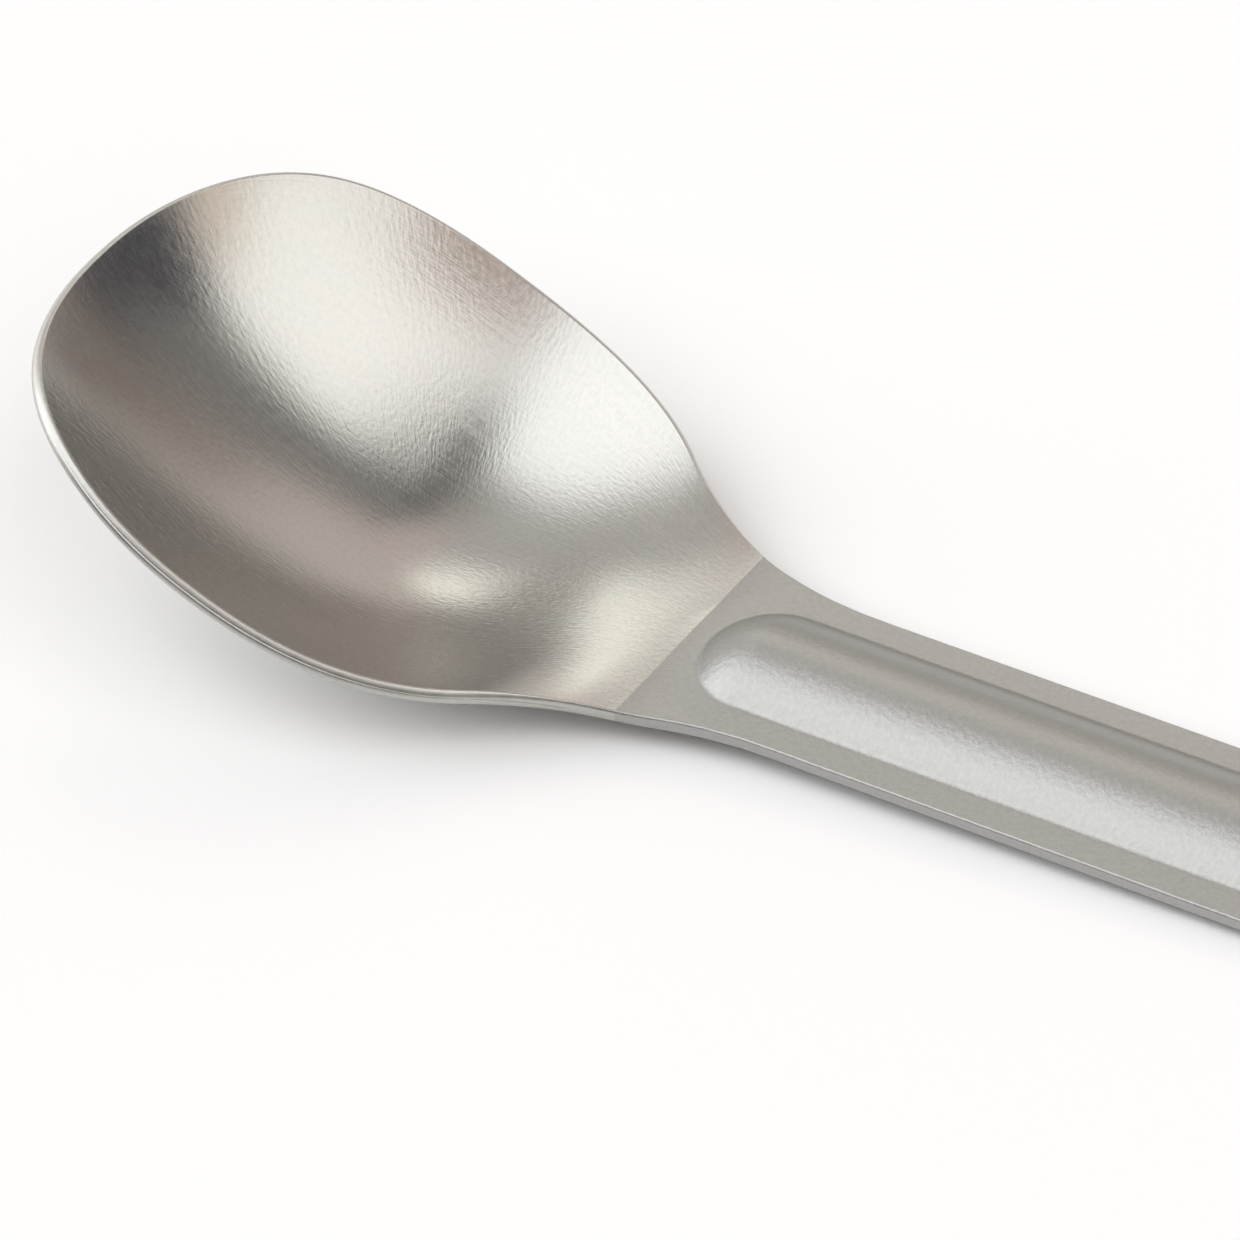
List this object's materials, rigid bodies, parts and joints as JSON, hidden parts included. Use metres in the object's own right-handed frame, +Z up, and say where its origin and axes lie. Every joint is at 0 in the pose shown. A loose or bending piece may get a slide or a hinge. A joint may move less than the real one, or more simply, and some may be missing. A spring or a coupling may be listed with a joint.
{
  "type": "long-handled spoon",
  "caption": "Pressed metal spoon with a deep polished bowl, a long matt handle stiffened by a raised, round-ended rib, and a hanging slot in the handle's end.",
  "frame": {"origin": "middle of the spoon's footprint, on the surface that the spoon lies on", "axes": "+X from the bowl's tip towards the end of the handle, +Z up with the bowl open upwards, Y across the spoon, which is its own mirror image across Y = 0"},
  "size_m": [0.2174, 0.039, 0.0198],
  "materials": {
    "titanium": "bowl polished up to a straight line across the neck, handle blasted to a fine matt grain"
  },
  "bodies": {
    "root": {"spoon": "titanium"}
  },
  "joints": []
}
